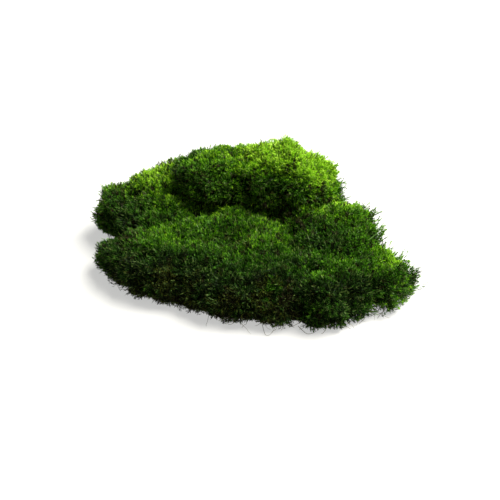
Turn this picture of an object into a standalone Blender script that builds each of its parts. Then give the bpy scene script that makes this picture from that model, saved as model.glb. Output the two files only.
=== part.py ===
"""A clump of fresh moss, lifted whole and laid on a flat surface.

Two pieces: a wide low mat with several lobes, and a smaller cushion that lies across the back of the mat.
Each piece is a set of squashed domes, fused into one skin, then roughened into tufts. The skin is where the
tips of the shoots end. The frame is +X to the right, +Y to the back and +Z up, with the origin on the surface
below the middle of the clump. Sizes are in metres.
"""

import math
from collections import namedtuple

import bmesh
import bpy
from mathutils import Matrix, Vector

MM = 0.001

# The skin's resolution, fine enough to draw one tuft
MAT_VOXEL = 4.3 * MM
CUSHION_VOXEL = 3.8 * MM
DOME_SUBDIVISIONS = 4
CREASE_SOFTNESS = 0.5
SMOOTH_PASSES = 3

# Tufts are the small domes that neighbouring shoots make together
TUFT_WIDTH = 14.0 * MM
TUFT_RELIEF = 9.0 * MM
# Swells are the slow rise and fall of a mat that grew over uneven ground
SWELL_WIDTH = 34.0 * MM
SWELL_RELIEF = 5.0 * MM

# Height of the relief texture at which the skin stays where it is
RELIEF_MIDDLE = 0.5

SEAT_GAP = 0.4 * MM
# The ground block reaches this far down, and this far past the mat
GROUND_DEPTH = 40.0 * MM
GROUND_MARGIN = 40.0 * MM

# One dome of moss: its middle, its half widths, its half height and how far it is turned about Z
Dome = namedtuple("Dome", "x y z half_x half_y half_z turn")

# Millimetres and degrees. The middles lie a little above the ground, so the rim bulges out over its foot
MAT_DOMES = {
    "core": Dome(-2, 0, 8, 77, 51, 18, 0),
    "plateau": Dome(-24, 10, 11, 48, 34, 21, 0),
    "front_left": Dome(-52, -16, 10, 41, 28, 20, -11),
    "left_tip": Dome(-86, -7, 8, 14, 11, 12, 0),
    "front_middle": Dome(-10, -27, 10, 43, 33, 21, -4),
    "front_nose": Dome(10, -47, 8, 15, 18, 18, 10),
    "front_right": Dome(41, -37, 10, 28, 30, 20, 8),
    "right": Dome(51, -8, 11, 26, 31, 22, -10),
    "right_shoulder": Dome(37, 13, 15, 22, 17, 21, 0),
    "right_side": Dome(74, -25, 8, 20, 24, 14, 15),
    "right_back": Dome(59, 14, 14, 17, 16, 22, 0),
    "right_tip": Dome(88, -23, 5, 12, 11, 8, -20),
    "left": Dome(-63, 21, 12, 26, 22, 23, 10),
    "back_left": Dome(-78, 37, 12, 24, 19, 23, 0),
    "back_ridge": Dome(-56, 49, 15, 29, 21, 29, 20),
    "back": Dome(4, 42, 9, 61, 32, 21, 0),
}
CUSHION_DOMES = {
    "left": Dome(-22, 41, 41, 30, 24, 15, 6),
    "middle": Dome(2, 41, 39, 28, 23, 18, 0),
    "right": Dome(27, 38, 37, 30, 24, 16, -8),
    "crown": Dome(15, 41, 45, 27, 23, 17, 0),
    "back_skirt": Dome(2, 53, 28, 50, 18, 23, 0),
}
# How far a dome's profile leaves the ellipse for a box: steeper sides under a flatter top
MAT_BOXINESS = 0.25
CUSHION_BOXINESS = 0.1

GREEN = (0.05, 0.13, 0.012, 1.0)
LIGHT_GREEN = (0.13, 0.29, 0.02, 1.0)
MOSS_ROUGHNESS = 0.85


def clear_scene():
    """Removes every object that the scene starts with."""
    for obj in list(bpy.data.objects):
        bpy.data.objects.remove(obj, do_unlink=True)


def collection(name):
    """A new collection of this name, in the scene."""
    made = bpy.data.collections.new(name)
    bpy.context.scene.collection.children.link(made)
    return made


def moss_material(name, colour):
    """A soft, rough green, as a carpet of small leaves scatters the light."""
    material = bpy.data.materials.new(name)
    material.use_nodes = True
    shader = material.node_tree.nodes["Principled BSDF"]
    shader.inputs["Base Color"].default_value = colour
    shader.inputs["Roughness"].default_value = MOSS_ROUGHNESS
    shader.inputs["Metallic"].default_value = 0.0
    return material


def dome_object(name, domes, boxiness, where):
    """One mesh that holds every dome of a piece, still overlapping.

    Each starts as a ball whose points move out along their own directions, towards the cylinder round the ball.
    """
    cage = bmesh.new()
    for dome in domes.values():
        middle = Matrix.Translation(Vector((dome.x, dome.y, dome.z)) * MM)
        turn = Matrix.Rotation(math.radians(dome.turn), 4, "Z")
        halves = Matrix.Diagonal(Vector((dome.half_x, dome.half_y, dome.half_z)) * MM).to_4x4()
        verts = bmesh.ops.create_icosphere(cage, subdivisions=DOME_SUBDIVISIONS, radius=1.0)["verts"]
        for vert in verts:
            nearness = max(math.hypot(vert.co.x, vert.co.y), abs(vert.co.z))
            vert.co *= nearness**-boxiness
        bmesh.ops.transform(cage, matrix=middle @ turn @ halves, verts=verts)
    mesh = bpy.data.meshes.new(name)
    cage.to_mesh(mesh)
    cage.free()
    obj = bpy.data.objects.new(name, mesh)
    where.objects.link(obj)
    return obj


def relief_texture(kind, name, width):
    """A noise texture whose lumps are about this wide."""
    texture = bpy.data.textures.new(name, kind)
    texture.noise_scale = width
    return texture


def grow_skin(obj, voxel, swell, tuft):
    """Fuses the domes into one skin, rounds the creases, then raises swells and tufts on it."""
    fuse = obj.modifiers.new("fuse_domes", "REMESH")
    fuse.mode = "VOXEL"
    fuse.voxel_size = voxel
    fuse.use_smooth_shade = True
    soften = obj.modifiers.new("round_creases", "SMOOTH")
    soften.factor = CREASE_SOFTNESS
    soften.iterations = SMOOTH_PASSES
    # A cell of the tuft texture is darkest in its middle, so the negative height makes each cell a dome
    for name, texture, height in (("swells", swell, SWELL_RELIEF), ("tufts", tuft, -TUFT_RELIEF)):
        raise_by = obj.modifiers.new(name, "DISPLACE")
        raise_by.texture = texture
        raise_by.texture_coords = "LOCAL"
        raise_by.mid_level = RELIEF_MIDDLE
        raise_by.strength = height
    # The mat and its imprint are split into the same triangles, so the seat gap is even
    split = obj.modifiers.new("triangles", "TRIANGULATE")
    split.quad_method = "FIXED"


def cut_by(obj, cutter):
    """Takes the cutter's shape out of the object."""
    cut = obj.modifiers.new("cut_" + cutter.name, "BOOLEAN")
    cut.operation = "DIFFERENCE"
    cut.solver = "EXACT"
    cut.object = cutter


def as_helper(obj, where):
    """Puts an object that only shapes another among the cutters, hidden in renders."""
    obj.hide_render = True
    obj.display_type = "WIRE"
    where.objects.link(obj)


def ground_block(where):
    """The block below the surface that the clump lies on: it cuts the foot flat."""
    block = bmesh.new()
    bmesh.ops.create_cube(block, size=1.0)
    mesh = bpy.data.meshes.new("ground_block")
    block.to_mesh(mesh)
    block.free()
    reach = max(abs(d.x) + d.half_x for d in MAT_DOMES.values()) * MM + GROUND_MARGIN
    mesh.transform(Matrix.Diagonal((2 * reach, 2 * reach, GROUND_DEPTH, 1.0)))
    obj = bpy.data.objects.new("ground_block", mesh)
    obj.location.z = -GROUND_DEPTH / 2
    as_helper(obj, where)
    return obj


def seat_imprint(mat, where):
    """The mat's own shape grown by the gap: it cuts the cushion's foot to lie close on the mat."""
    imprint = mat.copy()
    imprint.name = "mat_imprint"
    grow = imprint.modifiers.new("seat_gap", "DISPLACE")
    grow.mid_level = 0.0
    grow.strength = SEAT_GAP
    as_helper(imprint, where)
    return imprint


def centre_clump(root, pieces):
    """Moves the root, and all that hangs on it, until the middle of the clump's box is over the origin."""
    depsgraph = bpy.context.evaluated_depsgraph_get()
    corners = [Vector(c) for piece in pieces for c in piece.evaluated_get(depsgraph).bound_box]
    for axis in (0, 1):
        ends = [corner[axis] for corner in corners]
        root.location[axis] = -(min(ends) + max(ends)) / 2


def main():
    """Builds the mat, then the cushion on it, and centres both."""
    clear_scene()
    pieces = collection("moss_clump")
    helpers = collection("cutters")
    root = bpy.data.objects.new("clump_origin", None)
    pieces.objects.link(root)
    swell = relief_texture("CLOUDS", "swells", SWELL_WIDTH)
    tuft = relief_texture("VORONOI", "tufts", TUFT_WIDTH)

    mat = dome_object("lower_mat", MAT_DOMES, MAT_BOXINESS, pieces)
    grow_skin(mat, MAT_VOXEL, swell, tuft)
    ground = ground_block(helpers)
    cut_by(mat, ground)
    mat.data.materials.append(moss_material("mat_moss", GREEN))

    imprint = seat_imprint(mat, helpers)
    cushion = dome_object("upper_cushion", CUSHION_DOMES, CUSHION_BOXINESS, pieces)
    grow_skin(cushion, CUSHION_VOXEL, swell, tuft)
    cut_by(cushion, imprint)
    cushion.data.materials.append(moss_material("cushion_moss", LIGHT_GREEN))

    for obj in (mat, cushion, ground, imprint):
        obj.parent = root
    centre_clump(root, (mat, cushion))


main()
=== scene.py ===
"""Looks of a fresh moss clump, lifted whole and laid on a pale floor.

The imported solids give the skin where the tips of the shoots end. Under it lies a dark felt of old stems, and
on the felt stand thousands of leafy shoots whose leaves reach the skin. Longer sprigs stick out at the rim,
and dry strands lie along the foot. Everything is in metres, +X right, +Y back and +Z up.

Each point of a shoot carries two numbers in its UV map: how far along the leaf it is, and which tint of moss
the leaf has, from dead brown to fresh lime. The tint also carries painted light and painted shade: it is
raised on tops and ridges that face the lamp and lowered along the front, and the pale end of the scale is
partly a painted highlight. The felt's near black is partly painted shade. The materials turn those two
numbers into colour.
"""

import logging
import math
from collections.abc import Callable, Sequence
from dataclasses import dataclass
from enum import Enum

import bpy
import numpy as np
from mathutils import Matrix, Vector


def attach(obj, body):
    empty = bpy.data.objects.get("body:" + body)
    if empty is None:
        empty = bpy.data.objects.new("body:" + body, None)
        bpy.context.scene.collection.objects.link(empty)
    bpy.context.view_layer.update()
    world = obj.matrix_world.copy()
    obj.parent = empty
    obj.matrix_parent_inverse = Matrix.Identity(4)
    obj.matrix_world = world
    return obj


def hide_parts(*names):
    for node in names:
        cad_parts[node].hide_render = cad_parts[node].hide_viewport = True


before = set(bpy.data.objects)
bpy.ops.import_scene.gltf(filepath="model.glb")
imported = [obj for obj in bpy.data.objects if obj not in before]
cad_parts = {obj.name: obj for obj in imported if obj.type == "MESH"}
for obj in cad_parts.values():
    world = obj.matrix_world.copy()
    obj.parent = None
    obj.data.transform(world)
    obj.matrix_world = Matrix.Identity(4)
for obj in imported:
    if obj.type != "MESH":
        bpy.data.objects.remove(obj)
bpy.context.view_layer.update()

logging.basicConfig(level=logging.INFO, format="%(name)s %(message)s")
LOG = logging.getLogger("moss")

Array = np.ndarray
Triple = tuple[float, float, float]
Stops = tuple[tuple[float, str], ...]
MM = 0.001
UP = np.array([0.0, 0.0, 1.0])
GOLDEN_ANGLE = math.pi * (3.0 - math.sqrt(5.0))
TINT_MAP = "OFBake"
CLEAR_OF_FLOOR = 0.6 * MM

# Nearly straight up, and never quite along a shoot
LEANING_UP = UP + 0.31 * np.array([1.0, 0.4, 0.0])
# Rounds of averaging, from the facet's normals to the lobe's
CALM_PASSES = 7
# Normals whose product is below this face each other
FACING_AGAINST = -0.3
# Largest share of its thickness that a thin part loses
THIN_SHARE = 0.4
# In square metres, past any gap in the clump
FAR_SQUARED = 1.0

# Cubes in which another piece's skin is noted: their side, and the points thrown to find them
HIDE_CELL = 1.0 * MM
HIDE_TRIES = 400000
# How far into a closed seam shoots still grow
SEAM_REACH = 5.0 * MM
# Skin lies on the floor where it looks down this steeply and is this near
DOWNWARD = -0.6
FLOOR_LAYER = 1.5 * MM

# Places on the tint scale
# Pale leaves: partly bleached, partly a painted highlight for the glint on wet leaves
BLEACHED_AND_GLINT_TINT = 0.03
BROWN_TINT = 0.1
OLIVE_FROM = 0.25
GREEN_FROM = 0.32
GREEN_SHOOT_FROM = GREEN_FROM + 0.01
GREEN_LEAF_FROM = GREEN_FROM + 0.03
HIGHEST_TINT = 0.97
HIGHEST_STEM_TINT = 0.9
# Place on the way from root to tip colour: the stem's, and that of the lowest leaves' tips
STEM_REACH = 0.1
LOWEST_REACH = 0.35


class Slot(Enum):
    """Names of the material slots."""

    MAT = "mat_moss"
    CUSHION = "cushion_moss"


def linear(hex_colour: str) -> tuple[float, float, float, float]:
    """Turns an sRGB hex colour into the linear colour that a shader takes.

    Args:
        hex_colour: six digits, such as "3b6a14".

    Returns:
        Red, green, blue and an alpha of one.
    """
    parts = [int(hex_colour[i : i + 2], 16) / 255.0 for i in (0, 2, 4)]
    red, green, blue = (c / 12.92 if c <= 0.04045 else ((c + 0.055) / 1.055) ** 2.4 for c in parts)
    return red, green, blue, 1.0


def unit(vectors: Array) -> Array:
    """Scales each vector of an array to a length of one."""
    return vectors / np.maximum(np.linalg.norm(vectors, axis=-1, keepdims=True), 1e-12)


def smooth_step(low: float, high: float, values: Array) -> Array:
    """Rises from 0 at low to 1 at high, level at both ends: 3t squared less 2t cubed."""
    t = np.clip((values - low) / (high - low), 0.0, 1.0)
    return t * t * (3.0 - 2.0 * t)


def soft_noise(points: Array, width: float, seed: int, waves: int = 9) -> Array:
    """Slow patches over space: cosine waves that run in random directions, added and scaled by their number.

    Args:
        points: places, any shape ending in three.
        width: about how wide one patch is, in metres.
        seed: picks the waves.
        waves: how many waves are added.

    Returns:
        One value a point, mostly between -1 and 1.
    """
    rng = np.random.default_rng(seed)
    directions = unit(rng.normal(size=(waves, 3))) * rng.uniform(0.7, 1.4, (waves, 1)) * math.pi / width
    phases = rng.uniform(0.0, math.tau, waves)
    return np.cos(points @ directions.T + phases).sum(axis=-1) * math.sqrt(2.0 / waves) * 0.7


def linked(name: str, data: bpy.types.ID) -> bpy.types.Object:
    """Makes an object with this data and links it to the scene."""
    made = bpy.data.objects.new(name, data)
    bpy.context.scene.collection.objects.link(made)
    return made


def vertex_vectors(mesh: bpy.types.Mesh, kind: str) -> Array:
    """Reads a vector for each vertex, its place or its normal."""
    values = np.empty(3 * len(mesh.vertices), np.float32)
    mesh.vertices.foreach_get(kind, values)
    return values.reshape(-1, 3)


def squared_gaps(ones: Array, others: Array) -> Array:
    """Squares of the distances from each of the ones to each of the others."""
    return (ones**2).sum(1)[:, None] - 2.0 * ones @ others.T + (others**2).sum(1)[None]


def cubes(places: Array, cell: float) -> Array:
    """Three grid numbers for each place: those of the cube with this side that it lies in."""
    return np.floor(places / cell).astype(np.int64)


def above_floor(points: Array) -> Array:
    """Lifts what would sink into the floor: below the clearance c, a height z becomes c exp(z / c - 1)."""
    lifted = points.copy()
    height = points[..., 2]
    squeezed = CLEAR_OF_FLOOR * np.exp(np.minimum(height / CLEAR_OF_FLOOR - 1.0, 0.0))
    lifted[..., 2] = np.where(height < CLEAR_OF_FLOOR, squeezed, height)
    return lifted


@dataclass
class MeshArrays:
    """Triangles as whole arrays, with a UV for every point."""

    points: Array
    triangles: Array
    uv: Array

    @staticmethod
    def joined(parts: Sequence["MeshArrays"]) -> "MeshArrays":
        """Joins several meshes into one, and moves each one's indices past those before it."""
        starts = np.cumsum([0] + [len(p.points) for p in parts[:-1]])
        return MeshArrays(
            np.concatenate([p.points for p in parts]),
            np.concatenate([p.triangles + s for p, s in zip(parts, starts)]),
            np.concatenate([p.uv for p in parts]),
        )

    def to_object(self, name: str, smooth: bool = False) -> bpy.types.Object:
        """Writes the arrays into a new object at the origin.

        Args:
            name: the piece's name.
            smooth: whether its faces are shaded smooth.

        Returns:
            The object, linked to the scene.
        """
        mesh = bpy.data.meshes.new(name)
        count = len(self.triangles)
        corners = self.triangles.astype(np.int32).ravel()
        mesh.vertices.add(len(self.points))
        mesh.vertices.foreach_set("co", self.points.astype(np.float32).ravel())
        mesh.loops.add(3 * count)
        mesh.loops.foreach_set("vertex_index", corners)
        mesh.polygons.add(count)
        mesh.polygons.foreach_set("loop_start", np.arange(0, 3 * count, 3, dtype=np.int32))
        mesh.polygons.foreach_set("use_smooth", np.full(count, smooth))
        layer = mesh.uv_layers.new(name=TINT_MAP)
        layer.uv.foreach_set("vector", self.uv[corners].astype(np.float32).ravel())
        mesh.update(calc_edges=True)
        mesh.validate()
        return linked(name, mesh)


class NodePen:
    """Writes one material's node tree."""

    def __init__(self, name: str) -> None:
        """Starts a material without nodes."""
        self.material = bpy.data.materials.new(name)
        self.material.use_nodes = True
        self.tree = self.material.node_tree
        self.tree.nodes.clear()

    def add(self, kind: str, settings: dict | None = None, **sockets) -> bpy.types.Node:
        """Adds a node with its settings, and fills or links its sockets.

        Args:
            kind: the node's type, without the ShaderNode at the front.
            settings: the node's own properties, and for a colour ramp its stops as places and hex colours.
            **sockets: an input's name with underscores for spaces, or an underscore and its number, with its
                value or the output that feeds it.

        Returns:
            The node.
        """
        node = self.tree.nodes.new("ShaderNode" + kind)
        for key, value in (settings or {}).items():
            if key == "stops":
                elements = node.color_ramp.elements
                while len(elements) < len(value):
                    elements.new(0.5)
                for element, (position, hex_colour) in zip(elements, value):
                    element.position = position
                    element.color = linear(hex_colour)
            else:
                setattr(node, key, value)
        for key, value in sockets.items():
            slot = node.inputs[int(key[1:])] if key[0] == "_" else node.inputs[key.replace("_", " ")]
            if isinstance(value, bpy.types.NodeSocket):
                self.tree.links.new(value, slot)
            else:
                slot.default_value = value
        return node

    def finish(self, shader: bpy.types.Node) -> bpy.types.Material:
        """Links the shader to the material's output and returns the material."""
        self.add("OutputMaterial", Surface=shader.outputs[0])
        return self.material


@dataclass(frozen=True)
class LeafFinish:
    """Living moss leaf: one cell thick, damp and faintly waxy, so tips glint and roots sink into the dark."""

    name: str
    # Colours over the tint at the leaf's tip and at its root: pale, dead brown, olive, green, then lime. The
    # pale end is partly bleached leaves and partly a painted highlight for the glint on wet leaves
    tips: Stops = (
        (0.05, "748c46"), (0.08, "4a4420"), (0.16, "343a18"), (0.27, "76822a"), (0.35, "24400f"),
        (0.5, "43781a"), (0.62, "5c9820"), (0.74, "80ba28"), (0.86, "b4e030"), (1.0, "e0fa64"),
    )
    roots: Stops = (
        (0.05, "4c6430"), (0.08, "242110"), (0.2, "1b200b"), (0.36, "14260a"), (0.5, "1c380a"),
        (0.65, "30580c"), (0.8, "4e8010"), (1.0, "80b420"),
    )
    roughness: float = 0.5
    # Cell walls full of water
    ior: float = 1.38
    # Fine hairs and pits break up most of the mirror light
    shine: float = 0.22
    # Share of the light that comes through from behind
    glow: float = 0.5
    # Where along the leaf the root's colour turns into the tip's
    fade_from: float = 0.2
    fade_to: float = 0.95

    def material(self) -> bpy.types.Material:
        """Mixes the root colour into the tip colour along the leaf, both chosen by the leaf's tint."""
        pen = NodePen(self.name)
        uv = pen.add("UVMap", {"uv_map": TINT_MAP})
        split = pen.add("SeparateXYZ", Vector=uv.outputs["UV"])
        along = pen.add(
            "MapRange", {"interpolation_type": "SMOOTHSTEP"}, Value=split.outputs["X"],
            From_Min=self.fade_from, From_Max=self.fade_to,
        )
        tips = pen.add("ValToRGB", {"stops": self.tips}, Fac=split.outputs["Y"]).outputs["Color"]
        roots = pen.add("ValToRGB", {"stops": self.roots}, Fac=split.outputs["Y"]).outputs["Color"]
        colour = pen.add("Mix", {"data_type": "RGBA"}, Factor=along.outputs["Result"], _6=roots, _7=tips)
        face = pen.add(
            "BsdfPrincipled", Base_Color=colour.outputs[2], Roughness=self.roughness, IOR=self.ior,
            Specular_IOR_Level=self.shine,
        )
        through = pen.add("BsdfTranslucent", Color=colour.outputs[2])
        shader = pen.add("MixShader", _0=self.glow, _1=face.outputs[0], _2=through.outputs[0])
        return pen.finish(shader)


@dataclass(frozen=True)
class FeltFinish:
    """Felt of dead stems and rhizoids: matted dark fibre, near black as painted shade between the shoots."""

    name: str = "old_stem_felt_and_shade"
    # Near black: the stems' own dark colour deepened as painted shade between the shoots
    dark: str = "080d03"
    light: str = "18240a"
    roughness: float = 0.95
    # Loose fibre has no surface of its own to mirror the lamp
    shine: float = 0.05
    # Fibres are 0.1 mm thick, drawn at five times that so that they show
    fibre_mm: float = 0.5
    # A lump of the noise is this many fibres wide
    lump: float = 4.0

    def material(self) -> bpy.types.Material:
        """Mottles the dark and the light shade by noise at the fibre's scale."""
        pen = NodePen(self.name)
        place = pen.add("TexCoord").outputs["Object"]
        scale = 1.0 / (self.lump * self.fibre_mm * MM)
        fibre = pen.add("TexNoise", Vector=place, Scale=scale, Detail=6.0, Roughness=0.7)
        shades = {"stops": ((0.35, self.dark), (0.7, self.light))}
        colour = pen.add("ValToRGB", shades, Fac=fibre.outputs["Fac"]).outputs["Color"]
        bump = pen.add("Bump", Height=fibre.outputs["Fac"], Distance=self.fibre_mm * MM, Strength=0.8)
        shader = pen.add(
            "BsdfPrincipled", Base_Color=colour, Roughness=self.roughness, Normal=bump.outputs["Normal"],
            Specular_IOR_Level=self.shine,
        )
        return pen.finish(shader)


@dataclass(frozen=True)
class StrandFinish:
    """Dry moss stem: hollow and dull, some still dark brown and some bleached to straw."""

    name: str = "dry_strand"
    stops: Stops = (
        (0.0, "33311a"), (0.4, "504b2c"), (0.75, "686240"), (1.0, "928e6a"),
    )
    roughness: float = 0.7

    def material(self) -> bpy.types.Material:
        """Colours the strand by its tint."""
        pen = NodePen(self.name)
        uv = pen.add("UVMap", {"uv_map": TINT_MAP})
        split = pen.add("SeparateXYZ", Vector=uv.outputs["UV"])
        colour = pen.add("ValToRGB", {"stops": self.stops}, Fac=split.outputs["Y"]).outputs["Color"]
        shader = pen.add("BsdfPrincipled", Base_Color=colour, Roughness=self.roughness)
        return pen.finish(shader)


def at_corners(faces: Array, triangles: Array, count: int) -> Array:
    """Adds each face's vector to its three corners, and scales the sums to a length of one."""
    total = np.zeros((count, 3))
    for corner in range(3):
        np.add.at(total, triangles[:, corner], faces)
    return unit(total)


@dataclass
class Skin:
    """A solid's outer surface, with its doubled points merged and its normals smooth."""

    points: Array
    triangles: Array
    normals: Array
    merge: float = 0.02 * MM

    @classmethod
    def of_node(cls, node: str) -> "Skin":
        """Reads a node of the frame.

        Args:
            node: the node's name.

        Returns:
            Its merged surface.
        """
        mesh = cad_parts[node].data
        loose = vertex_vectors(mesh, "co")
        corners = np.empty(len(mesh.loops), np.int32)
        mesh.loops.foreach_get("vertex_index", corners)
        cells = np.round(loose / cls.merge).astype(np.int64)
        _, first, merged = np.unique(cells, axis=0, return_index=True, return_inverse=True)
        points = loose[first].astype(np.float64)
        triangles = merged.ravel()[corners].reshape(-1, 3)
        a, b, c = triangles.T
        triangles = triangles[(a != b) & (b != c) & (c != a)]
        return cls(points, triangles, cls.smooth_normals(points, triangles))

    @staticmethod
    def smooth_normals(points: Array, triangles: Array) -> Array:
        """Adds each face's normal, weighted by its area, to its three corners."""
        a, b, c = (points[triangles[:, i]] for i in range(3))
        return at_corners(np.cross(b - a, c - a), triangles, len(points))

    def calm_normals(self, passes: int) -> Array:
        """Averages the normals over neighbouring faces, so that shoots follow the lobe and not the facet."""
        calm = self.normals
        for _ in range(passes):
            calm = at_corners(calm[self.triangles].mean(axis=1), self.triangles, len(calm))
        return calm

    def scatter(self, rng: np.random.Generator, cell: float, tries: int) -> "Sites":
        """Finds sites spread evenly at random: one in each small cube that the surface passes through.

        Args:
            rng: the random numbers.
            cell: the cube's side, in metres.
            tries: how many random points are thrown at the surface first.

        Returns:
            The sites.
        """
        a, b, c = (self.points[self.triangles[:, i]] for i in range(3))
        areas = np.linalg.norm(np.cross(b - a, c - a), axis=1)
        chosen = rng.choice(len(areas), tries, p=areas / areas.sum())
        first, second = np.sqrt(rng.random(tries)), rng.random(tries)
        weights = np.stack([1.0 - first, first * (1.0 - second), first * second], axis=1)
        corners = self.triangles[chosen]
        places = (self.points[corners] * weights[..., None]).sum(axis=1)
        _, kept = np.unique(cubes(places, cell), axis=0, return_index=True)
        both = (self.normals, self.calm_normals(CALM_PASSES))
        normals, calm = (unit((n[corners[kept]] * weights[kept, :, None]).sum(axis=1)) for n in both)
        return Sites(places[kept], normals, calm)

    def cells(self, rng: np.random.Generator, cell: float, tries: int) -> Array:
        """The numbers of the cubes that the surface passes through, and of the six neighbours of each."""
        keys = cubes(self.scatter(rng, cell, tries).places, cell)
        step = np.eye(3, dtype=np.int64)
        steps = np.concatenate([0 * step[:1], step, -step])
        return cube_numbers((keys[:, None] + steps).reshape(-1, 3))

    def thickness(self) -> Array:
        """Thickness at each point: the way to the nearest point behind it that faces against it."""
        against = self.normals @ self.normals.T < FACING_AGAINST
        behind = self.normals @ self.points.T < (self.normals * self.points).sum(axis=1)[:, None]
        gaps = np.where(against & behind, squared_gaps(self.points, self.points), FAR_SQUARED)
        return np.sqrt(np.maximum(gaps.min(axis=1), 0.0))

    def shrunk(self, depth: float, flat_below: float) -> "Skin":
        """Moves the surface inwards by the depth, less where the solid is thin, and keeps a flat foot."""
        depths = np.minimum(depth, THIN_SHARE * self.thickness())
        points = self.points - self.calm_normals(1) * depths[:, None]
        foot = self.points[:, 2] < flat_below
        points[foot, 2] = self.points[foot, 2]
        points[:, 2] = np.maximum(points[:, 2], 0.0)
        return Skin(points, self.triangles, self.smooth_normals(points, self.triangles))


def cube_numbers(keys: Array) -> Array:
    """One whole number for each cube, from its three grid numbers."""
    return (keys[:, 0] + 4096) * 8192 * 8192 + (keys[:, 1] + 4096) * 8192 + keys[:, 2] + 4096


@dataclass
class Sites:
    """Places on a skin where shoots end, with the skin's own normal there and the lobe's calmer one."""

    places: Array
    normals: Array
    calm: Array

    def where(self, keep: Array) -> "Sites":
        """The sites that a mask or an index array picks."""
        return Sites(self.places[keep], self.normals[keep], self.calm[keep])

    def in_the_open(self, hidden: Array) -> Array:
        """Tells which sites a shoot can be seen on.

        Those that lie on the floor or in a cube that another skin fills are closed, but a closed seam opens
        as far in as its edge can be looked into.

        Args:
            hidden: numbers of the cubes that another piece's skin fills.

        Returns:
            True for each site that grows a shoot.
        """
        underneath = (self.normals[:, 2] < DOWNWARD) & (self.places[:, 2] < FLOOR_LAYER)
        covered = np.isin(cube_numbers(cubes(self.places, HIDE_CELL)), hidden)
        places = self.places.astype(np.float32)
        seen = ~covered
        seen[covered] = squared_gaps(places[covered], places[~covered]).min(axis=1) < SEAM_REACH**2
        return seen & ~underneath

    def __len__(self) -> int:
        """How many sites there are."""
        return len(self.places)


def lowest_tint(tints: Array) -> Array:
    """The lowest tint of a shoot's leaves: a green shoot has no olive leaves, nor an olive one brown."""
    dull = np.where(tints > OLIVE_FROM, OLIVE_FROM, BROWN_TINT)
    return np.where(tints > GREEN_FROM, GREEN_LEAF_FROM, dull)


def crosswise(axes: Array) -> tuple[Array, Array]:
    """Two directions across each axis, at right angles to each other."""
    side = unit(np.cross(axes, LEANING_UP))
    return side, np.cross(axes, side)


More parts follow.
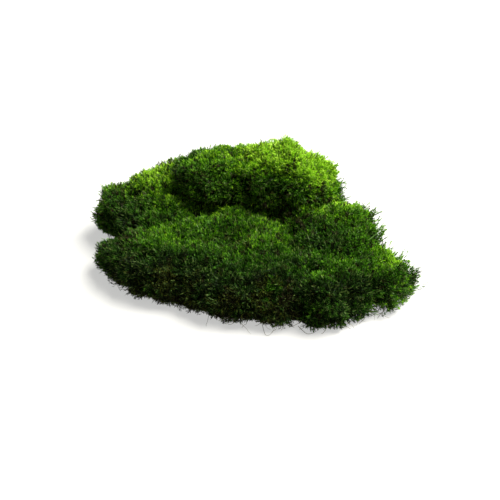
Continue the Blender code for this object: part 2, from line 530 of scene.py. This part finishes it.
@dataclass(frozen=True)
class ShootForm:
    """Sizes of one kind of shoot: a stem with leaves set round it in a spiral."""

    length: float
    length_spread: float
    leaves: int
    first_leaf: float
    leaf_length: float
    leaf_width: float
    spread_low: float
    spread_top: float
    bend: float
    stem_radius: float = 0.16 * MM
    # How far a leaf's edges stand off the line from foot to tip, as a share of its half width
    keel: float = 0.28
    # Share of pale leaves, partly bleached and partly a painted highlight for the glint on wet leaves, and how
    # much longer those are
    bleached: float = 0.08
    bleached_and_glint_growth: float = 1.4
    # Random spread of a leaf's bearing and lean, in radians, and of its tint
    bearing_spread: float = 0.25
    lean_spread: float = 0.28
    tint_spread: float = 0.045
    # Factors on a leaf's length and width, and what it loses in length and gains in tint up to the bud
    length_factors: tuple[float, float] = (0.7, 1.2)
    width_factors: tuple[float, float] = (0.75, 1.2)
    bud_loss: float = 0.25
    bud_gain: float = 0.14
    # A leaf is widest this far along, and its tip bends back by this share of its length
    widest: float = 0.42
    recurve: float = 0.12
    stem_shade: float = 0.1

    def leaf_arrays(
        self, rng: np.random.Generator, roots: Array, axes: Array, lengths: Array, bends: Array, tints: Array
    ) -> MeshArrays:
        """Makes every leaf of every shoot at once.

        A leaf is a thin wedge of four points: its foot on the stem, its tip, and two edges near its middle
        that stand a little above the line between them. The foot of leaf k lies a share t of the way up the
        stem, its bearing round the stem is k golden angles, and it leans out by an angle that falls from
        spread_low at the lowest leaf to spread_top at the bud.

        Args:
            rng: the random numbers.
            roots: where the stems start, one row a shoot.
            axes: the directions they grow in.
            lengths: their lengths.
            bends: how far each tip is carried sideways.
            tints: the tint of each shoot, 0 to 1.

        Returns:
            The leaves of all the shoots.
        """
        shoots, leaves = each = len(roots), self.leaves
        rank = np.linspace(0.0, 1.0, leaves)[None, :]
        share = self.first_leaf + (1.0 - self.first_leaf) * rank**0.8 * rng.uniform(0.94, 1.0, each)
        side, other = crosswise(axes)
        bearing = rng.uniform(0.0, math.tau, (shoots, 1)) + GOLDEN_ANGLE * np.arange(leaves)[None, :]
        bearing = bearing + rng.normal(0.0, self.bearing_spread, each)
        out = np.cos(bearing)[..., None] * side[:, None] + np.sin(bearing)[..., None] * other[:, None]
        lean = self.spread_low + (self.spread_top - self.spread_low) * rank
        lean = lean + rng.normal(0.0, self.lean_spread, each)
        along = np.cos(lean)[..., None] * axes[:, None] + np.sin(lean)[..., None] * out
        across = unit(np.cross(axes[:, None], out))
        inward = np.cross(across, along)
        foot = roots[:, None] + axes[:, None] * (lengths[:, None] * share)[..., None]
        foot = foot + bends[:, None] * (share**2)[..., None]
        # Pale leaves, partly bleached and partly a painted highlight
        bleached = rng.random(each) < self.bleached
        size = self.leaf_length * rng.uniform(*self.length_factors, each) * (1.0 - self.bud_loss * rank)
        size = size * np.where(bleached, self.bleached_and_glint_growth, 1.0)
        half = 0.5 * self.leaf_width * rng.uniform(*self.width_factors, each)
        middle = foot + along * (self.widest * size)[..., None] + inward * (self.keel * half)[..., None]
        tip = foot + along * size[..., None] - inward * (self.recurve * size)[..., None]
        edge = across * half[..., None]
        points = np.stack([foot, tip, middle - edge, middle + edge], axis=2).reshape(-1, 3)
        tint = tints[:, None] + rng.normal(0.0, self.tint_spread, each) + self.bud_gain * (rank - 0.6)
        tint = np.clip(tint, lowest_tint(tints)[:, None], HIGHEST_TINT)
        tint = np.where(bleached, BLEACHED_AND_GLINT_TINT, tint)
        reach = LOWEST_REACH + (1.0 - LOWEST_REACH) * rank + rng.normal(0.0, 0.06, each)
        reach = np.clip(reach, 0.15, 1.0)
        u = np.stack([0.0 * reach, reach, 0.5 * reach, 0.5 * reach], -1)
        v = tint[..., None] + np.array([0.0, 0.0, -0.012, 0.012])
        uv = np.stack([u, v], -1).reshape(-1, 2)
        wedge = np.array([[0, 2, 1], [0, 1, 3], [0, 3, 2], [2, 3, 1]])
        triangles = (np.arange(shoots * leaves)[:, None, None] * 4 + wedge[None]).reshape(-1, 3)
        return MeshArrays(above_floor(points), triangles, uv)

    def stem_arrays(
        self, roots: Array, axes: Array, lengths: Array, bends: Array, tints: Array
    ) -> MeshArrays:
        """Makes every stem at once: a thin three-sided spike from the root to the bud."""
        shoots = len(roots)
        side, other = crosswise(axes)
        turns = np.arange(3) * math.tau / 3.0
        ring = np.cos(turns)[None, :, None] * side[:, None] + np.sin(turns)[None, :, None] * other[:, None]
        ring = roots[:, None] + ring * self.stem_radius
        tip = (roots + axes * lengths[:, None] + bends)[:, None]
        points = np.concatenate([ring, tip], axis=1).reshape(-1, 3)
        low = np.clip(tints - self.stem_shade, lowest_tint(tints), HIGHEST_STEM_TINT)
        turned = np.stack([np.full(shoots, STEM_REACH), low], -1)
        uv = turned[:, None] + np.array([[0.0, 0.0], [0.03, 0.0], [0.0, 0.02], [0.4, 0.04]])
        spike = np.array([[0, 2, 1], [0, 1, 3], [1, 2, 3], [2, 0, 3]])
        triangles = (np.arange(shoots)[:, None, None] * 4 + spike[None]).reshape(-1, 3)
        return MeshArrays(above_floor(points), triangles, uv.reshape(-1, 2))

    def grow(self, rng: np.random.Generator, axes: Array, tips: Array, tints: Array) -> MeshArrays:
        """Grows shoots with their tips at the places given.

        Args:
            rng: the random numbers.
            axes: the direction of each shoot.
            tips: where each shoot ends.
            tints: the tint of each shoot.

        Returns:
            Leaves and stems as one mesh.
        """
        count = len(tips)
        lengths = self.length * (1.0 + self.length_spread * rng.uniform(-1.0, 1.0, count))
        bends = rng.normal(size=(count, 3)) * (self.bend * lengths)[:, None]
        bends -= axes * (bends * axes).sum(axis=1, keepdims=True)
        roots = tips - axes * lengths[:, None] - bends
        leaves = self.leaf_arrays(rng, roots, axes, lengths, bends, tints)
        return MeshArrays.joined([leaves, self.stem_arrays(roots, axes, lengths, bends, tints)])


def tufted(rng: np.random.Generator, places: Array, width: float) -> tuple[Array, Array]:
    """Gathers shoots into tufts: each belongs to the nearest of many centres.

    Args:
        rng: the random numbers.
        places: where the shoots end.
        width: about how wide a tuft is.

    Returns:
        For each shoot the way to its tuft's centre, and its distance from it as a share of the width.
    """
    _, first = np.unique(cubes(places, width), axis=0, return_index=True)
    centres = places[rng.permutation(first)].astype(np.float32)
    gaps = squared_gaps(places.astype(np.float32), centres)
    nearest = centres[np.argmin(gaps, axis=1)].astype(np.float64)
    way = nearest - places
    return way, np.linalg.norm(way, axis=1) / width


def dress(piece: bpy.types.Object, material: bpy.types.Material) -> None:
    """Gives a piece its material and body."""
    piece.data.materials.clear()
    piece.data.materials.append(material)
    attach(piece, "root")


@dataclass
class MossBody:
    """One cushion or mat of moss: a felt of old stems, and shoots that stand on it out to the skin."""

    node: str
    slot: Slot
    leaf: LeafFinish
    felt: FeltFinish
    seed: int
    regions: dict[str, tuple[float, float]]
    tint_of: Callable[[Array, Array], Array]
    shoot: ShootForm
    cell: float = 1.95 * MM
    tries: int = 90000
    tuft_width: float = 7.5 * MM
    tuft_dip: float = 2.6 * MM
    tuft_pull: float = 0.25
    felt_depth: float = 4.6 * MM
    felt_voxel: float = 2.2 * MM
    felt_relief: float = 0.45 * MM
    felt_grain: float = 2.6 * MM
    felt_waves: int = 14
    flat_foot: float = 0.3 * MM
    upward: float = 0.45
    wander: float = 0.55
    tip_spread: float = 0.5 * MM
    tint_spread: float = 0.04
    # Loss of tint between two tufts
    gap_shade: float = 0.13

    def build_felt(self, skin: Skin) -> None:
        """Makes the felt: the skin moved inwards, woven into even faces and roughened by noise."""
        inner = skin.shrunk(self.felt_depth, self.flat_foot)
        core = MeshArrays(inner.points, inner.triangles, np.zeros((len(inner.points), 2)))
        name = self.node + "_felt"
        rough = core.to_object(name + "_rough")
        weave = rough.modifiers.new("even_faces", "REMESH")
        weave.mode = "VOXEL"
        weave.voxel_size = self.felt_voxel
        graph = bpy.context.evaluated_depsgraph_get()
        mesh = bpy.data.meshes.new_from_object(rough.evaluated_get(graph))
        bpy.data.objects.remove(rough)
        mesh.name = name
        points, normals = vertex_vectors(mesh, "co"), vertex_vectors(mesh, "normal")
        relief = self.felt_relief * soft_noise(points, self.felt_grain, self.seed + 5, self.felt_waves)
        points = points + normals * relief[:, None]
        points[:, 2] = np.maximum(points[:, 2], 0.0)
        mesh.vertices.foreach_set("co", points.astype(np.float32).ravel())
        mesh.update()
        piece = linked(name, mesh)
        dress(piece, self.felt.material())
        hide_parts(self.node)

    def build_shoots(self, skin: Skin, hidden: Array) -> None:
        """Stands the shoots on the skin, tuft by tuft, and splits them into one piece a region.

        Args:
            skin: the solid's skin.
            hidden: numbers of the cubes that another piece's skin fills, where no shoot grows.
        """
        rng = np.random.default_rng(self.seed)
        sites = skin.scatter(rng, self.cell, self.tries)
        sites = sites.where(sites.in_the_open(hidden))
        way, share = tufted(rng, sites.places, self.tuft_width)
        axes = 0.5 * sites.normals + sites.calm + self.upward * UP
        axes = unit(axes + rng.normal(size=sites.places.shape) * self.wander)
        tips = sites.places - sites.calm * (self.tuft_dip * smooth_step(0.25, 0.8, share))[:, None]
        tips += sites.calm * rng.normal(0.0, self.tip_spread, len(sites))[:, None]
        axes = unit(axes + self.tuft_pull * way / self.tuft_width)
        wanted = self.tint_of(sites.places, sites.calm)
        tints = wanted + rng.normal(0.0, self.tint_spread, len(sites))
        tints = tints - self.gap_shade * smooth_step(0.3, 0.8, share)
        tints = np.where(wanted > GREEN_FROM, np.maximum(tints, GREEN_SHOOT_FROM), tints)
        centres = np.array(list(self.regions.values())) * MM
        gaps = ((sites.places[:, None, :2] - centres[None]) ** 2).sum(axis=2)
        owner = np.argmin(gaps, axis=1)
        material = self.leaf.material()
        for number, region in enumerate(self.regions):
            mine = np.flatnonzero(owner == number)
            grown = self.shoot.grow(rng, axes[mine], tips[mine], tints[mine])
            piece = grown.to_object(f"{region}_shoots")
            dress(piece, material)
            LOG.info("%s: %d shoots, %d triangles", piece.name, len(mine), len(grown.triangles))


SPECKLE_WIDTH = 2.2 * MM
SPECKLE_SEED = 13


def speckled(tint: Array, other: float, share: Array, places: Array) -> Array:
    """Turns a share of the shoots to the other tint, picked by a noise as fine as the shoots stand apart."""
    return np.where(share > 0.5 + 0.5 * soft_noise(places, SPECKLE_WIDTH, SPECKLE_SEED), other, tint)


class Way(Enum):
    """Directions that a tint can change along."""

    RIGHT = (1.0, 0.0, 0.0)
    LEFT = (-1.0, 0.0, 0.0)
    BACK = (0.0, 1.0, 0.0)
    FRONT = (0.0, -1.0, 0.0)
    UP = (0.0, 0.0, 1.0)


@dataclass(frozen=True)
class Rise:
    """A smooth step from 0 to 1 along a direction, between two places in mm."""

    way: Way
    start: float
    end: float

    def over(self, places: Array) -> Array:
        """How far the step has risen at each place."""
        return smooth_step(self.start * MM, self.end * MM, places @ np.array(self.way.value))


@dataclass(frozen=True)
class Zone:
    """A part of the clump with a value of its own, times every rise at the part's edges."""

    value: float
    rises: tuple[Rise, ...]

    def over(self, places: Array) -> Array:
        """The zone's value at each place."""
        here = self.value
        for rise in self.rises:
            here = here * rise.over(places)
        return here


@dataclass(frozen=True)
class Spot:
    """A round spot in plan, in mm, whose value falls off as exp(-(distance / radius) squared)."""

    value: float
    x: float
    y: float
    radius: float

    def over(self, places: Array) -> Array:
        """The spot's value at each place."""
        gap = ((places[:, 0] / MM - self.x) ** 2 + (places[:, 1] / MM - self.y) ** 2) / self.radius**2
        return self.value * np.exp(-gap)


@dataclass(frozen=True)
class Mottle:
    """Lighter and darker patches: how strong, how wide in mm, and the noise's seed."""

    value: float
    width: float
    seed: int

    def over(self, places: Array) -> Array:
        """The mottle's value at each place."""
        return self.value * soft_noise(places, self.width * MM, self.seed)


# Spots that give a share of their shoots a tint of their own
MAT_PATCHES = (
    # Olive shoots along the back left ridge and on the plateau
    (Spot(0.5, -82.0, 38.0, 13.0), 0.27),
    (Spot(0.6, -58.0, 54.0, 15.0), 0.27),
    (Spot(0.45, -33.0, 16.0, 9.0), 0.27),
    (Spot(0.55, -9.0, -20.0, 9.0), 0.27),
    (Spot(0.45, 15.0, -14.0, 7.0), 0.28),
    # Old stems in the clefts: below the hollow, at the front between two lobes, and by the left tip
    (Spot(0.8, 21.0, 9.0, 7.0), 0.08),
    (Spot(0.6, 30.0, 0.0, 6.0), 0.12),
    (Spot(0.85, 20.0, -62.0, 6.0), 0.1),
    (Spot(0.5, -76.0, -14.0, 5.0), 0.1),
    # Fresh green on the nose at the front; on the plateau below the cushion's left end, a lighter green that
    # is painted light lifting the cushion's cast shadow
    (Spot(0.6, 11.0, -58.0, 6.0), 0.59),
    (Spot(0.4, -38.0, 14.0, 14.0), 0.62),
)


# Up with a slight lean to the light, and with a stronger one
SKYWARD = np.array([0.15, 0.25, 1.0])
LAMPWARD = np.array([0.45, 0.2, 1.0])

MAT_BASE = 0.435
MAT_CHANGES = (
    Mottle(0.04, 24.0, 3),
    Mottle(0.05, 9.0, 4),
    # Lighter to the right, most of all at the tip: partly fresher shoots, partly painted light where the rim
    # faces the lamp
    Zone(0.06, (Rise(Way.RIGHT, 60.0, 80.0),)),
    Zone(0.08, (Rise(Way.RIGHT, 78.0, 90.0),)),
    # Painted light on the ridge at the back left, where it also lifts the cushion's cast shadow, and on the
    # back of the right lobe
    Zone(0.26, (Rise(Way.BACK, 0.0, 40.0), Rise(Way.LEFT, 10.0, 50.0))),
    Zone(0.10, (Rise(Way.BACK, -15.0, 10.0), Rise(Way.RIGHT, 20.0, 45.0))),
    # Painted shade: darker along the front, which faces away from the lamp, and in the cleft on the middle
    # of the right lobe
    Zone(-0.13, (Rise(Way.FRONT, 15.0, 45.0), Rise(Way.LEFT, -45.0, -20.0))),
    Spot(-0.16, 47.0, -22.0, 16.0),
)
# Old stems show below this rise, and take these shares of the shoots
FOOT_END = Rise(Way.UP, 3.0, 14.0)
FOOT_BROWN = (
    Zone(0.2, (Rise(Way.LEFT, -40.0, -10.0),)),
    Zone(0.6, (Rise(Way.FRONT, 20.0, 45.0), Rise(Way.LEFT, -30.0, -5.0))),
)

CUSHION_BASE = 0.61
CUSHION_CHANGES = (
    Mottle(0.05, 18.0, 7),
    Mottle(0.04, 8.0, 6),
    Zone(-0.06, (Rise(Way.LEFT, 5.0, 25.0),)),
)
CROWN_GAIN = Rise(Way.RIGHT, -40.0, 25.0)
LIP_ENDS = (Rise(Way.UP, 31.0, 37.0), Rise(Way.RIGHT, 2.0, 26.0))


def mat_tint(places: Array, normals: Array) -> Array:
    """Tint over the mat: deep green, painted light on ridges and the right, painted shade in front, brown at
    the foot.
    """
    tint = MAT_BASE + sum(part.over(places) for part in MAT_CHANGES)
    # Painted light: tops that face up and towards the lamp are lighter
    tint += 0.22 * smooth_step(0.68, 1.02, normals @ SKYWARD)
    for spot, other in MAT_PATCHES:
        tint = speckled(tint, other, spot.over(places), places)
    brown = (1.0 - FOOT_END.over(places)) * sum(part.over(places) for part in FOOT_BROWN)
    return speckled(tint, 0.12, brown, places)


def cushion_tint(places: Array, normals: Array) -> Array:
    """Tint over the cushion: lime crown and right side, partly painted light; mid green in front; brown under
    its lip.
    """
    x, y, z = places.T
    tint = CUSHION_BASE + sum(part.over(places) for part in CUSHION_CHANGES)
    # Painted light: lighter where it faces up and towards the lamp
    tint += 0.12 * smooth_step(0.2, 0.9, normals @ SKYWARD)
    # The crown's lime: its own paler colour, raised further as painted light where it faces the lamp
    high = smooth_step(42.0 * MM, 60.0 * MM, z + 0.22 * x)
    painted_lamp_light = smooth_step(0.1, 0.9, normals @ LAMPWARD)
    tint += (0.04 + 0.23 * CROWN_GAIN.over(places)) * high * painted_lamp_light
    under = 1.0 - smooth_step(-0.45, -0.05, normals[:, 2])
    above, beside = (end.over(places) for end in LIP_ENDS)
    lip = (1.0 - above) * (y < 40.0 * MM) * (1.0 - beside)
    return speckled(tint, BROWN_TINT, np.maximum(0.3 * under, 0.9 * lip), places)


def tubes(paths: Array, radii: Array, tints: Array, sides: int = 5) -> MeshArrays:
    """Carries a small ring along every path, and closes both ends at a point.

    Args:
        paths: points along each strand, strands by steps by three.
        radii: the ring's radius at each step, strands by steps.
        tints: one tint a strand.
        sides: how many corners a ring has.

    Returns:
        All the strands as one mesh.
    """
    strands, steps = paths.shape[:2]
    forward = unit(np.gradient(paths, axis=1))
    side = unit(np.cross(forward, UP + np.array([0.17, 0.11, 0.0])))
    other = np.cross(side, forward)
    turns = np.arange(sides) * math.tau / sides
    ring = np.cos(turns)[:, None] * side[:, :, None] + np.sin(turns)[:, None] * other[:, :, None]
    rings = paths[:, :, None] + ring * radii[:, :, None, None]
    foremost = paths[:, 0] - forward[:, 0] * radii[:, :1]
    hindmost = paths[:, -1] + forward[:, -1] * radii[:, -1:]
    ends = np.stack([foremost, hindmost], 1)
    points = np.concatenate([rings.reshape(strands, -1, 3), ends], axis=1)
    around = np.arange(sides)
    following = (around + 1) % sides
    starts = np.arange(steps - 1)[:, None] * sides
    here, beside = starts + around, starts + following
    wall = np.concatenate(
        [np.stack([here, beside, here + sides], -1), np.stack([beside, beside + sides, here + sides], -1)]
    ).reshape(-1, 3)
    last = (steps - 1) * sides
    start = np.stack([following, around, np.full(sides, steps * sides)], -1)
    finish = np.stack([last + around, last + following, np.full(sides, steps * sides + 1)], -1)
    one = np.concatenate([wall, start, finish])
    count = steps * sides + 2
    triangles = (np.arange(strands)[:, None, None] * count + one[None]).reshape(-1, 3)
    share = np.linspace(0.02, 0.98, steps)
    u = np.concatenate([np.repeat(share, sides), [0.0, 1.0]])
    v = np.concatenate([np.tile(np.linspace(-0.02, 0.02, sides), steps), [0.01, -0.01]])
    tints = np.clip(tints, 0.05, 0.95)
    uv = np.stack([np.broadcast_to(u, (strands, count)), tints[:, None] + v[None]], -1)
    return MeshArrays(above_floor(points.reshape(-1, 3)), triangles, uv.reshape(-1, 2))


# Each strand by three points in mm: where it leaves the clump, its middle and its loose end
NAMED_STRANDS = (
    # Along the front foot, from left to right, with one open loop
    ((-78.0, -27.0, 3.0), (-81.2, -26.7, 2.0), (-83.1, -26.7, 0.5)),
    ((-5.7, -64.5, 3.0), (-2.3, -68.5, 1.0), (0.6, -72.3, 0.5)),
    ((-1.7, -64.5, 3.0), (-3.4, -65.7, 1.0), (-4.6, -66.9, 0.5)),
    ((7.0, -66.5, 3.0), (10.4, -73.8, 0.5), (15.0, -66.5, 3.0)),
    ((20.2, -65.0, 3.0), (19.1, -67.0, 1.0), (17.9, -68.9, 0.5)),
    ((27.8, -67.0, 2.0), (32.8, -71.6, 0.5), (39.6, -69.0, 1.0)),
    ((50.8, -64.5, 3.0), (55.0, -65.7, 1.0), (58.2, -68.0, 0.5)),
    ((65.3, -58.0, 3.0), (63.6, -60.6, 1.0), (61.5, -64.4, 0.5)),
    ((66.4, -59.0, 3.0), (65.4, -61.0, 1.0), (63.2, -63.5, 0.5)),
    ((68.8, -54.6, 4.0), (72.7, -56.8, 3.0), (72.4, -59.8, 0.5)),
    ((71.4, -56.0, 4.0), (76.6, -57.1, 3.0), (81.8, -58.0, 0.5)),
    # At the right tip: two short ones and one long hair that arches up
    ((79.8, -43.0, 4.0), (86.0, -41.9, 3.0), (91.1, -41.6, 2.0)),
    ((81.8, -41.0, 4.0), (86.6, -41.0, 4.0), (91.4, -38.2, 4.0)),
    ((94.2, -37.6, 5.0), (100.4, -33.0, 9.0), (106.1, -26.9, 15.0)),
)


@dataclass
class DryStrands:
    """Loose dry stems that trail out of the clump's foot and lie on the floor."""

    named: tuple[tuple[Triple, Triple, Triple], ...]
    scattered: int = 50
    steps: int = 14
    thick: float = 0.3 * MM
    wobble: float = 0.5 * MM
    seed: int = 31
    cell: float = 3.0 * MM
    tries: int = 40000
    # Heights at which scattered strands leave the clump, and the steepest normal there
    foot: tuple[float, float] = (1.0 * MM, 7.0 * MM)
    steepness: float = 0.75
    half_length: tuple[float, float] = (2.0 * MM, 5.0 * MM)
    rooted: float = 1.5 * MM

    def paths(self, rng: np.random.Generator, starts: Array, middles: Array, ends: Array) -> Array:
        """Lays a parabola through the three points of every strand, and a slow wobble on it.

        Point t of the way is (1 - t) squared times the start, plus 2t(1 - t) times the knee, plus t squared
        times the end. The knee is twice the middle less half the start and half the end, so that the
        middle is met.

        Args:
            rng: the random numbers.
            starts: where the strands leave the clump, one row a strand.
            middles: their middles.
            ends: their loose ends.

        Returns:
            Points, strands by steps by three.
        """
        share = np.linspace(0.0, 1.0, self.steps)[None, :, None]
        knees = 2.0 * middles - 0.5 * (starts + ends)
        path = (1.0 - share) ** 2 * starts[:, None] + 2.0 * share * (1.0 - share) * knees[:, None]
        path = path + share**2 * ends[:, None]
        phase = rng.uniform(0.0, math.tau, (len(starts), 1, 3))
        turns = rng.uniform(0.5, 1.3, (len(starts), 1, 3))
        wave = np.sin(math.tau * turns * share + phase)
        path = path + self.wobble * 4.0 * share * (1.0 - share) * wave
        path[..., 2] = np.maximum(path[..., 2], 1.4 * self.thick)
        return path

    def stray(self, rng: np.random.Generator, skin: Skin) -> Array:
        """Picks sites low on the rim, mostly at the front right, and runs a short curled strand from each.

        Args:
            rng: the random numbers.
            skin: the mat's skin, whose foot they leave.

        Returns:
            Starts, middles and ends, three by strands by three.
        """
        sites = skin.scatter(rng, self.cell, self.tries)
        height = sites.places[:, 2]
        low = (height > self.foot[0]) & (height < self.foot[1])
        sites = sites.where(low & (np.abs(sites.calm[:, 2]) < self.steepness))
        open_side = 0.08 + smooth_step(-20.0 * MM, 80.0 * MM, sites.places[:, 0] - 0.6 * sites.places[:, 1])
        odds = open_side / open_side.sum()
        sites = sites.where(rng.choice(len(sites), self.scattered, replace=False, p=odds))
        heading = np.arctan2(sites.calm[:, 1], sites.calm[:, 0]) + rng.normal(0.0, 0.8, self.scattered)
        later = heading + rng.normal(0.0, 0.9, self.scattered)
        half = rng.uniform(*self.half_length, self.scattered)[:, None]
        drop = np.full(self.scattered, -0.5)
        starts = sites.places - self.rooted * sites.calm
        middles = starts + half * np.stack([np.cos(heading), np.sin(heading), drop], -1)
        ends = middles + half * np.stack([np.cos(later), np.sin(later), drop], -1)
        return np.stack([starts, middles, ends])

    def build(self, skin: Skin) -> None:
        """Makes the named strands and those scattered round the foot.

        Args:
            skin: the mat's skin, whose foot they leave.
        """
        rng = np.random.default_rng(self.seed)
        named = np.array(self.named).transpose(1, 0, 2) * MM
        points = np.concatenate([named, self.stray(rng, skin)], axis=1)
        paths = self.paths(rng, *points)
        taper = 1.0 - 0.55 * np.linspace(0.0, 1.0, self.steps)[None, :] ** 1.5
        radii = 0.5 * self.thick * rng.uniform(0.7, 1.3, (len(paths), 1)) * taper
        mesh = tubes(paths, radii, rng.uniform(0.1, 0.75, len(paths)))
        piece = mesh.to_object("dry_strands", smooth=True)
        dress(piece, StrandFinish().material())
        LOG.info("%s: %d strands, %d triangles", piece.name, len(paths), len(mesh.triangles))


@dataclass
class RimSprigs:
    """Longer, looser shoots that stick out of the rim and here and there out of the top."""

    form: ShootForm
    leaf: LeafFinish
    slot: Slot
    name: str
    seed: int
    cell: float = 3.6 * MM
    rim_odds: float = 0.4
    top_odds: float = 0.09
    reach: tuple[float, float] = (0.4 * MM, 3.2 * MM)
    reach_right: float = 5.2 * MM
    tries: int = 60000
    # Sprigs are more, longer and fresher towards this end
    right_end: Rise = Rise(Way.RIGHT, 40.0, 85.0)
    right_odds: float = 0.6
    upward: float = 0.7
    wander: float = 0.35
    fresher: float = 0.06
    fresher_right: float = 0.12
    tint_spread: float = 0.06

    def build(self, skin: Skin, tint_of: Callable[[Array, Array], Array], hidden: Array) -> None:
        """Picks sites on the rim, more of them to the right, and grows one sprig on each.

        Args:
            skin: the skin they grow out of.
            tint_of: the tint over that skin.
            hidden: numbers of the cubes where nothing grows.
        """
        rng = np.random.default_rng(self.seed)
        sites = skin.scatter(rng, self.cell, self.tries)
        rim = 1.0 - smooth_step(0.35, 0.75, sites.calm[:, 2])
        right = self.right_end.over(sites.places)
        odds = self.top_odds + (self.rim_odds + self.right_odds * right) * rim
        kept = sites.in_the_open(hidden) & (rng.random(len(sites)) < odds)
        sites, right = sites.where(kept), right[kept]
        level = sites.calm * np.array([1.0, 1.0, 0.35])
        axes = unit(unit(level) + self.upward * UP + rng.normal(size=level.shape) * self.wander)
        past = rng.uniform(*self.reach, len(sites)) + self.reach_right * right * rng.random(len(sites))
        tips = sites.places + axes * past[:, None]
        tints = tint_of(sites.places, sites.calm) + self.fresher + self.fresher_right * right
        tints = tints + rng.normal(0.0, self.tint_spread, len(sites))
        mesh = self.form.grow(rng, axes, tips, tints)
        piece = mesh.to_object(self.name)
        dress(piece, self.leaf.material())
        LOG.info("%s: %d sprigs, %d triangles", piece.name, len(sites), len(mesh.triangles))


@dataclass
class Studio:
    """Pale floor, soft light from the back right, and the camera at the photograph's angle."""

    lens: float = 70.0
    distance: float = 607.6 * MM
    elevation: float = 35.0
    target: Triple = (0.02 * MM, -3.35 * MM, 11.0 * MM)
    near: float = 0.01
    floor_half: float = 3.0
    floor_drop: float = 0.05 * MM
    key_place: Triple = (0.97, 0.46, 1.40)
    key_size: float = 1.4
    key_watts: float = 215.0
    key_colour: Triple = (1.0, 0.98, 0.92)
    air_colour: tuple[float, float, float, float] = (1.0, 1.0, 0.88, 1.0)
    air_strength: float = 0.31

    def build_camera(self) -> None:
        """Aims the camera at the clump from the front, above it."""
        data = bpy.data.cameras.new("camera")
        data.lens = self.lens
        data.clip_start = self.near
        camera = linked("camera", data)
        lift = math.radians(self.elevation)
        target = Vector(self.target)
        camera.location = target + Vector((0.0, -math.cos(lift), math.sin(lift))) * self.distance
        camera.rotation_euler = (target - camera.location).to_track_quat("-Z", "Y").to_euler()
        bpy.context.scene.camera = camera

    def build_floor(self) -> None:
        """Lays the floor a hair under the clump."""
        half = self.floor_half
        mesh = bpy.data.meshes.new("floor")
        corners = [(-half, -half, 0), (half, -half, 0), (half, half, 0), (-half, half, 0)]
        mesh.from_pydata(corners, [], [(0, 1, 2, 3)])
        floor = linked("floor", mesh)
        floor.location.z = -self.floor_drop
        pen = NodePen("white_card")
        card = pen.add(
            "BsdfPrincipled", Base_Color=linear("7c7c7b"), Roughness=0.9,
            Emission_Color=(1.0, 1.0, 0.99, 1.0), Emission_Strength=0.5,
        )
        mesh.materials.append(pen.finish(card))

    def build_lights(self) -> None:
        """Hangs one broad key light at the back right and fills the room with soft white."""
        data = bpy.data.lights.new("key", "AREA")
        data.size = self.key_size
        data.energy = self.key_watts
        data.color = self.key_colour
        key = linked("key", data)
        key.location = self.key_place
        key.rotation_euler = (-Vector(self.key_place)).to_track_quat("-Z", "Y").to_euler()
        world = bpy.data.worlds.new("studio_air")
        world.use_nodes = True
        air = world.node_tree.nodes["Background"]
        air.inputs["Color"].default_value = self.air_colour
        air.inputs["Strength"].default_value = self.air_strength
        bpy.context.scene.world = world
        bpy.context.scene.view_settings.view_transform = "Standard"


def main() -> None:
    """Builds the stage, then the mat and the cushion."""
    studio = Studio()
    studio.build_camera()
    studio.build_floor()
    studio.build_lights()

    carpet = ShootForm(
        length=8.5 * MM, length_spread=0.25, leaves=13, first_leaf=0.4, leaf_length=3.0 * MM,
        leaf_width=0.62 * MM, spread_low=1.15, spread_top=0.45, bend=0.2,
    )
    # Sprigs have more pale leaves: bleached tips, and painted highlight
    sprig = ShootForm(
        length=12.0 * MM, length_spread=0.25, leaves=16, first_leaf=0.5, leaf_length=2.6 * MM,
        leaf_width=0.5 * MM, spread_low=0.9, spread_top=0.25, bend=0.2, stem_radius=0.2 * MM, bleached=0.15,
    )
    mat = MossBody(
        "lower_mat", Slot.MAT, LeafFinish("carpet_moss_leaf"), FeltFinish(), 11,
        {"left_lobe": (-72, 25), "front_left": (-45, -30), "front_middle": (5, -40), "plateau": (-10, 15),
         "right_lobe": (58, -8), "front_right": (48, -50)},
        mat_tint, carpet,
    )
    cushion = MossBody(
        "upper_cushion", Slot.CUSHION, LeafFinish("cushion_moss_leaf"), FeltFinish("cushion_felt_and_shade"), 12,
        {"cushion_left": (-24, 40), "cushion_right": (32, 38)},
        cushion_tint, carpet,
    )
    skins = {body.node: Skin.of_node(body.node) for body in (mat, cushion)}
    rng = np.random.default_rng(5)
    for body, other in ((mat, cushion), (cushion, mat)):
        hidden = skins[other.node].cells(rng, HIDE_CELL, HIDE_TRIES)
        body.build_felt(skins[body.node])
        body.build_shoots(skins[body.node], hidden)
        sprigs = RimSprigs(sprig, body.leaf, body.slot, body.node + "_sprigs", body.seed + 50)
        sprigs.build(skins[body.node], body.tint_of, hidden)
    DryStrands(NAMED_STRANDS).build(skins["lower_mat"])


if __name__ == "__main__":
    main()
